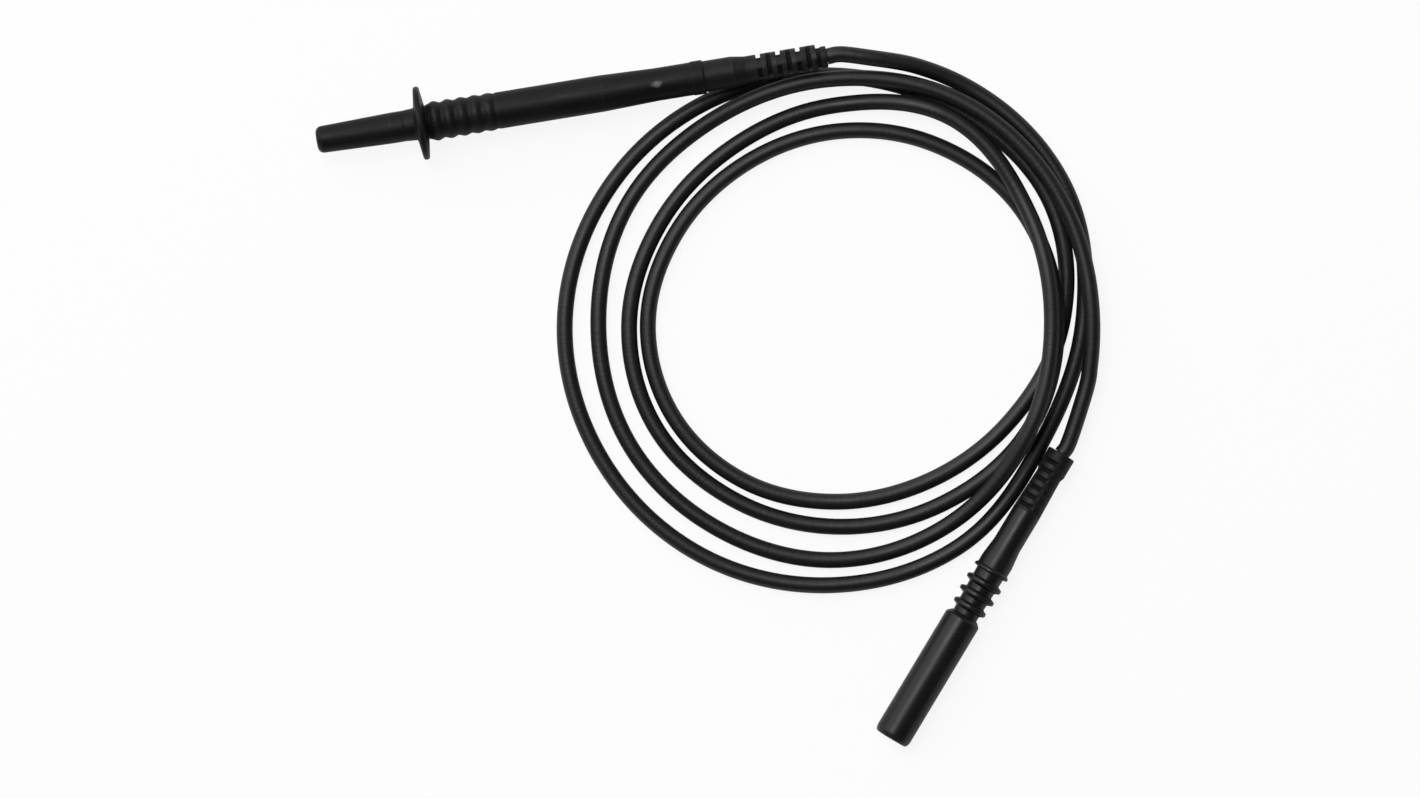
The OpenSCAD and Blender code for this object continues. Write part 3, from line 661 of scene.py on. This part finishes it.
def dress_inner_nodes():
    """Gives every model node that still shows the finish of its material."""
    nodes = frame["nodes"]
    for end, turn in (("handle", 0), ("plug", PLUG_HEADING)):
        nickel = metal(f"{end}_nickel", (0.50, 0.48, 0.44), (0.72, 0.70, 0.66), 0.18, 0.34, turn)
        nylon = moulded(f"{end}_nylon", (0.58, 0.53, 0.43), (0.72, 0.68, 0.58), 0.42, 0.55, turn,
                        values={"Subsurface Weight": 0.15, "Subsurface Scale": 0.002})
        white = moulded(f"{end}_white", (0.74, 0.73, 0.69), (0.84, 0.83, 0.80), 0.36, 0.5, turn)
        shrunk = moulded(f"{end}_shrink", (0.22, 0.03, 0.025), (0.34, 0.055, 0.045), 0.4, 0.55,
                         turn, 0.5)
        tail = moulded(f"{end}_tail_jacket", (0.0065, 0.0062, 0.0062), (0.0125, 0.012, 0.012),
                       0.36, 0.46, turn)
        finishes = {"cable_ferrule": nickel, "joint_sleeve": shrunk, "cable_tail": tail,
                    "wire_strands": copper_strands(f"{end}_copper", turn),
                    "inner_insulation": white}
        for part, material in finishes.items():
            assign(nodes[f"{end}_{part}"], material)
        if end == "handle":
            brass = metal("handle_brass", (0.52, 0.36, 0.14), (0.78, 0.60, 0.30), 0.2, 0.38, turn)
            assign(nodes["tip_socket"], brass)
            assign(nodes["handle_core"], nylon)
        else:
            spring = metal("spring_brass", (0.55, 0.42, 0.2), (0.82, 0.68, 0.36), 0.16, 0.3, turn)
            assign(nodes["contact_pin"], nickel)
            assign(nodes["contact_cage"], spring)
            assign(nodes["contact_carrier"], nylon)
            assign(nodes["contact_end_insulator"], white)


def assign(node, material):
    node.data.materials.clear()
    node.data.materials.append(material)


# ---- cable ----

def coil_radius(travel):
    last = len(COIL_RADII) - 1
    i = min(int(travel // STATION_STEP), last - 1)
    u = travel / STATION_STEP - i
    b, c = COIL_RADII[i], COIL_RADII[i + 1]
    a = COIL_RADII[i - 1] if i > 0 else 2 * b - c
    d = COIL_RADII[i + 2] if i + 2 <= last else 2 * c - b
    return between(a, b, c, d, u)


def coil_height(travel):
    i = max(k for k in range(len(CLIMBS) - 1) if CLIMBS[k][0] <= travel)
    (start, low), (end, high) = CLIMBS[i], CLIMBS[i + 1]
    return low + (high - low) * smooth((travel - start) / (end - start))


def coil_point(travel):
    r, angle = coil_radius(travel), math.radians(COIL_FIRST_ANGLE - travel)
    return Vector((COIL_MIDDLE[0] + r * math.cos(angle), COIL_MIDDLE[1] + r * math.sin(angle),
                   coil_height(travel)))


def cable_route(step=5, finer=4):
    """Points along the middle of the cable in millimetres, from the handle's boot to the plug's."""
    a = math.radians(PLUG_HEADING)
    plug_end = Vector((*PLUG_EXIT, PLUG_H))
    turn_in = plug_end + CABLE_STRAIGHT * Vector((math.cos(a), math.sin(a), 0))
    handle_end = Vector((HANDLE_LEN / 2, 0, HANDLE_H))
    travels = [FIRST_TRAVEL] + list(range(SECOND_TRAVEL, LAST_TRAVEL + 1, step))
    knots = [handle_end, handle_end + Vector((CABLE_STRAIGHT, 0, 0))]
    knots += [coil_point(t) for t in travels] + [turn_in, plug_end]
    route = []
    for i in range(len(knots) - 1):
        p, q = knots[i], knots[i + 1]
        before = knots[i - 1] if i > 0 else 2 * p - q
        after = knots[i + 2] if i + 2 < len(knots) else 2 * q - p
        pieces = max(finer, round((q - p).length / ROUTE_SPACING))
        for k in range(pieces):
            route.append(between(before, p, q, after, k / pieces))
    return route + [plug_end]


def make_cable(material, sides=20):
    route = cable_route()
    rows, straightened, travelled = [[route[0] * MM]], [(0, 0, 0)], 0
    for i, point in enumerate(route):
        ahead = route[min(i + 1, len(route) - 1)]
        behind = route[max(i - 1, 0)]
        along = (ahead - behind).normalized()
        aside = Vector((0, 0, 1)).cross(along).normalized()
        above = along.cross(aside)
        travelled += (point - behind).length
        row = []
        for k in range(sides):
            angle = 2 * math.pi * k / sides
            y, z = CABLE_R * math.cos(angle), CABLE_R * math.sin(angle)
            row.append((point + y * aside + z * above) * MM)
            straightened.append((travelled * MM, y * MM, z * MM))
        rows.append(row)
    rows.append([route[-1] * MM])
    straightened.append((travelled * MM, 0, 0))
    cable = finish_piece("cable_jacket", rows, None, False, "cable", "lead",
                         material)
    attribute = cable.data.attributes.new("straightened", "FLOAT_VECTOR", "POINT")
    for spot, place in zip(attribute.data, straightened):
        spot.vector = place
    return cable, [tuple(p * MM) for p in route]


# ---- pieces of the handle ----

def make_tip_cap(material):
    inner = SPIGOT_R + RUNNING_FIT
    seat = SPIGOT_START - RUNNING_FIT
    rings = rounded([(0, 0), (0, CAP_FRONT_R, CAP_EDGE_R), (CAP_TAPER_LEN, CAP_REAR_R, 8),
                     (CAP_LEN, CAP_REAR_R, 0.12), (CAP_LEN, inner, 0.12), (seat, inner, INNER_R),
                     (seat, CAP_BORE_R, INNER_R), (CAP_END_T, CAP_BORE_R, 0.3), (CAP_END_T, 0)])
    turned("tip_cap_finish", rings, on_handle(), material, "cap", False)


def make_tip():
    nickel = metal("tip_nickel", (0.55, 0.53, 0.49), (0.76, 0.74, 0.70), 0.12, 0.26, 0)
    point_end = NEEDLE_START + NEEDLE_POINT_LEN
    rings = rounded([(NEEDLE_START, 0), (NEEDLE_START, 0.1, 0.06), (point_end, NEEDLE_R, 0.5),
                     (INSULATION_START, NEEDLE_R, SEAM_R), (INSULATION_START, STEM_R, SEAM_R),
                     (STEM_END, STEM_R, INNER_R), (STEM_END, 0)])
    turned("probe_tip_finish", rings, on_handle(), nickel, closed=False, sides=48)


def make_tip_insulation(material):
    bore = STEM_R + FIT
    rings = rounded([(INSULATION_START, bore, SEAM_R), (INSULATION_START, INSULATION_R, 0.18),
                     (CORE_START, INSULATION_R, SEAM_R), (CORE_START, bore, SEAM_R)], True)
    turned("tip_insulation_finish", rings, on_handle(), material, sides=64)


def grip_rings(steps=16, fullness=0.8):
    """Rounded rings of the grip, each a little lower than the one before."""
    rings = []
    for i in range(GRIP_RINGS * steps):
        share = i / (GRIP_RINGS * steps)
        top = GRIP_FIRST_R + (GRIP_LAST_R - GRIP_FIRST_R) * share
        rise = ((1 - math.cos(2 * math.pi * i / steps)) / 2) ** fullness
        place = GRIP_START + GRIP_PITCH * i / steps
        radius = GRIP_VALLEY_R + (top - GRIP_VALLEY_R) * rise
        rings.append(Ring(place, radius, GRIP_WEAR * rise ** 3))
    return rings


def gate_mark_radius(ring, angle):
    """The barrel's radius, with the shallow round dish of the mould gate on top."""
    off_axis = ring.radius * (angle - math.pi / 2)
    away = math.hypot(ring.place - TAPER_END, off_axis)
    edge = min(1, max(0, (GATE_MARK_R - away) / GATE_MARK_SLOPE))
    return ring.radius - GATE_MARK_DEPTH * smooth(edge)


def make_handle_shell(material):
    grip_end = GRIP_START + GRIP_RINGS * GRIP_PITCH
    guard_middle = (GUARD_START + GUARD_END) / 2
    rim = GUARD_RIM_T / 2
    bore = INSULATION_R + FIT
    nose = rounded([(CORE_START, bore, SEAM_R), (SPIGOT_START, bore, INNER_R),
                    (SPIGOT_START, SPIGOT_R, EDGE), (CAP_LEN, SPIGOT_R, SEAM_R),
                    (CAP_LEN, CAP_REAR_R, 0.12), (GUARD_START, FLARE_R, 0.5),
                    (guard_middle - rim, GUARD_R, GUARD_EDGE_R),
                    (guard_middle + rim, GUARD_R, GUARD_EDGE_R), (GUARD_END, FLARE_R, 0.5),
                    (GRIP_START, GRIP_VALLEY_R)])
    taper = (BARREL_R - REAR_R) / (TAPER_END - TAPER_START)
    mark = [Ring(TAPER_END - i * GATE_RING_STEP, REAR_R + i * GATE_RING_STEP * taper)
            for i in range(GATE_RINGS, -1, -1)]
    mark += [Ring(TAPER_END + i * GATE_RING_STEP, REAR_R) for i in range(1, GATE_RINGS + 1)]
    barrel = rounded([(grip_end, GRIP_VALLEY_R), (grip_end + EDGE, BARREL_R, 0.6),
                      (TAPER_START, BARREL_R, 12), (mark[0].place, mark[0].radius)])[:-1]
    tail = rounded([(mark[-1].place, REAR_R), (COLLAR_START, REAR_R, 0.3),
                    (COLLAR_START + EDGE, COLLAR_R, 0.3), (SHELL_END, COLLAR_R, COLLAR_EDGE_R),
                    (SHELL_END, SHELL_BORE_R, INNER_R), (CORE_START, SHELL_BORE_R, INNER_R),
                    (CORE_START, bore)])[1:-1]
    rings = nose[:-1] + grip_rings() + barrel + mark + tail
    turned("handle_shell_finish", rings, on_handle(), material,
           sides=160, shape=gate_mark_radius)


def make_boot(name, outer, end, roll, turn, bridge, slots_start, slots, place, material):
    """A boot with slots. Its outer outline starts at its spigot and stops at its end."""
    start, bore = outer[0].place, BOOT_BORE_R
    inner = rounded([(end, bore + BORE_CHAMFER), (end - BORE_CHAMFER, bore), (start + 0.1, bore)])
    rings = slotted(outer, slots_start, slots, roll, turn, bridge) + inner
    turned(name, rings, place, material, sides=192, shape=slotted_radius)


def make_handle_boot(material):
    spigot = SHELL_BORE_R - FIT
    slots_end = BOOT_SLOTS_START + (BOOT_SLOTS - 1) * SLOT_PITCH + SLOT_W
    outer = rounded([(BOOT_SPIGOT_START, BOOT_BORE_R), (BOOT_SPIGOT_START, spigot, 0.2),
                     (SHELL_END, spigot, SEAM_R), (SHELL_END, BOOT_BASE_R, 0.15),
                     (BOOT_BASE_END, BOOT_BASE_R, 4), (BOOT_TUBE_START, BOOT_R, 4),
                     (slots_end - SLOT_W, BOOT_END_R), (slots_end, BOOT_TIP_R),
                     (HANDLE_LEN, BOOT_TIP_R - HAIR, EDGE), (HANDLE_LEN, BOOT_BORE_R)])[:-1]
    make_boot("handle_boot_finish", outer, HANDLE_LEN, BOOT_ROLL, BOOT_SLOT_TURN, BOOT_BRIDGE_HALF,
              BOOT_SLOTS_START, BOOT_SLOTS, on_handle(), material)


# ---- pieces of the plug ----

def mouth_rings(steps=10):
    """Rings of the shroud's mouth, whose rounding is longer than it is deep."""
    rings = []
    # The wear on the mouth's rounding is partly real wear and partly a painted highlight on its rim
    for i in range(steps + 1):
        turn = math.pi / 2 * i / steps
        rings.append(Ring(SHROUD_EDGE_LEN * (1 - math.cos(turn)),
                          SHROUD_R - SHROUD_EDGE_R * (1 - math.sin(turn)), math.sin(2 * turn)))
    return rings


def make_plug_shroud(material):
    spigot = PLUG_SPIGOT_R + FIT
    mouth = mouth_rings()
    tube = rounded([mouth[-1][:2], (SHROUD_LEN - SHROUD_CHAMFER, SHROUD_R, 0.5),
                    (SHROUD_LEN, SHROUD_R - SHROUD_CHAMFER, 0.3), (SHROUD_LEN, spigot, INNER_R),
                    (SHROUD_DEPTH, spigot, SEAM_R), (SHROUD_DEPTH, SHROUD_BORE_R, INNER_R),
                    (0, SHROUD_BORE_R, 0.15), mouth[0][:2]])
    turned("plug_shroud_finish", mouth + tube[1:-1], on_plug(), material)


def neck_radius(place):
    share = (place - SHROUD_LEN) / (HEAD_START - SHROUD_LEN)
    return PLUG_NECK_R + (PLUG_NECK_END_R - PLUG_NECK_R) * share


def make_plug_body(material):
    corners = [(SHROUD_DEPTH, PLUG_BORE_R, SEAM_R), (SHROUD_DEPTH, PLUG_SPIGOT_R, 0.2),
               (SHROUD_LEN, PLUG_SPIGOT_R, 0.02), (SHROUD_LEN, PLUG_NECK_R, SEAM_R)]
    for i in range(FINS):
        middle = FIN_FIRST + i * FIN_PITCH
        tip = FIN_R if i else FIN_FIRST_R
        for along, r, fillet in ((-FIN_ROOT_T, None, 0.25), (-FIN_RIM_T, tip, 0.4),
                                 (FIN_RIM_T, tip, 0.4), (FIN_ROOT_T, None, 0.25)):
            place = middle + along / 2
            corners.append((place, r or neck_radius(place), fillet))
    corners += [(HEAD_START, PLUG_NECK_END_R, 0.15), (HEAD_START + EDGE / 2, HEAD_LIP_R, 0.15),
                (HEAD_START + 2 * EDGE, HEAD_LIP_R, 0.25), (HEAD_START + 3 * EDGE, HEAD_R, 0.3),
                (HEAD_END, HEAD_R, 1.2), (TAIL_START, TAIL_R, 1.2), (BODY_END, TAIL_R, 0.12),
                (BODY_END, PLUG_BOOT_SPIGOT_R + FIT, SEAM_R),
                (PLUG_BOOT_SPIGOT_START, PLUG_BOOT_SPIGOT_R + FIT, SEAM_R),
                (PLUG_BOOT_SPIGOT_START, PLUG_BORE_R, SEAM_R)]
    turned("plug_body_finish", rounded(corners, True), on_plug(), material)


def make_plug_boot(material):
    outer = rounded([(PLUG_BOOT_SPIGOT_START, BOOT_BORE_R),
                     (PLUG_BOOT_SPIGOT_START, PLUG_BOOT_SPIGOT_R, 0.2),
                     (BODY_END, PLUG_BOOT_SPIGOT_R, SEAM_R), (BODY_END, TAIL_R - HAIR, 0.12),
                     (PLUG_BOOT_COLLAR_START - EDGE, PLUG_BOOT_WAIST_R, 0.4),
                     (PLUG_BOOT_COLLAR_START + EDGE, PLUG_BOOT_COLLAR_R, 0.4),
                     (PLUG_LEN, PLUG_BOOT_COLLAR_R, EDGE), (PLUG_LEN, BOOT_BORE_R)])[:-1]
    make_boot("plug_boot_finish", outer, PLUG_LEN, PLUG_BOOT_ROLL, PLUG_BOOT_SLOT_TURN,
              PLUG_BOOT_BRIDGE_HALF, PLUG_BOOT_SLOTS_START, PLUG_BOOT_SLOTS, on_plug(), material)


# ---- the scene ----

make_camera()
cable, route = make_cable(cable_rubber())

handle_black = handle_plastic()
make_tip_cap(handle_black)
make_handle_shell(handle_black)
make_tip()
make_tip_insulation(plug_plastic(0, "insulation_plastic"))
make_handle_boot(boot_rubber(0, "handle_boot_rubber"))

plug_black = plug_plastic()
make_plug_shroud(plug_black)
make_plug_body(plug_black)
make_plug_boot(boot_rubber(PLUG_HEADING, "plug_boot_rubber"))
dress_inner_nodes()

make_world()
make_floor()
# A large lamp gives the broad sheen, and a small high one the thin line along each strand
make_softbox("key", heading=LIGHT_HEADING, height=44, distance=2.0, size=2.4, brightness=2.3)
make_softbox("top", heading=LIGHT_HEADING, height=72, distance=2.0, size=0.7, brightness=10)

bpy.context.scene.view_settings.view_transform = "Standard"
